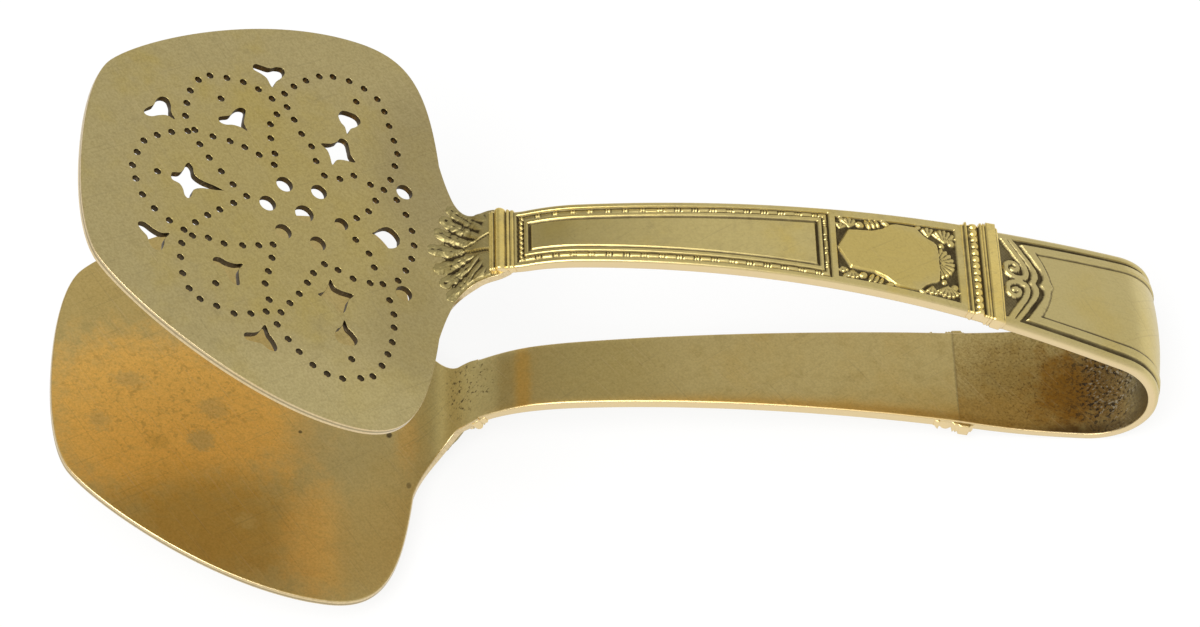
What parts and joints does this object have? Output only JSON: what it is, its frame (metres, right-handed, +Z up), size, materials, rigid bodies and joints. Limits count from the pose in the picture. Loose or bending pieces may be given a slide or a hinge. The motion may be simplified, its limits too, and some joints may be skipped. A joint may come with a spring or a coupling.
{
  "type": "sandwich tongs",
  "caption": "Serving tongs with a pierced upper blade and a plain lower blade on two arched ornamental arms, joined by a U-shaped spring bow that is squeezed to grip a sandwich.",
  "frame": {"origin": "middle of the footprint, on the table that the lower heel and the bow rest on", "axes": "+X along the tongs from the blades to the bow, +Y across them, +Z up from the lower blade to the upper one"},
  "size_m": [0.2014, 0.0862, 0.0894],
  "materials": {
    "gilt_brass": "die-struck, gilt and worn, dark tarnish left in the recesses",
    "blade_brass": "plain rolled sheet, satin, with orange tarnish on the lower blade",
    "bow_brass": "satin, with worn pale edges and a dark tarnished inside"
  },
  "bodies": {
    "lower_half": {"lower_bow_leg": "bow_brass", "lower_cross_band": "gilt_brass", "lower_arm": "gilt_brass", "lower_neck_collar": "gilt_brass", "lower_leaf": "gilt_brass", "lower_blade": "blade_brass"},
    "bow": {"bow": "bow_brass"},
    "upper_half": {"upper_bow_leg": "bow_brass", "upper_cross_band": "gilt_brass", "upper_arm": "gilt_brass", "upper_neck_collar": "gilt_brass", "upper_leaf": "gilt_brass", "upper_blade": "blade_brass"}
  },
  "joints": [
    {"name": "lower_bow_bend", "type": "hinge", "parent": "lower_half", "child": "bow", "pos_m": [0.08748, 0, 0.00094], "axis": [0, -1, 0], "range_deg": [-3, 9.2], "stiffness_Nm_per_rad": 14},
    {"name": "upper_bow_bend", "type": "hinge", "parent": "bow", "child": "upper_half", "pos_m": [0.09438, 0, 0.02228], "axis": [0, -1, 0], "range_deg": [-3, 9.2], "stiffness_Nm_per_rad": 14}
  ],
  "couplings": [
    {"joint": "upper_bow_bend", "follows": "lower_bow_bend", "ratio": 1}
  ]
}
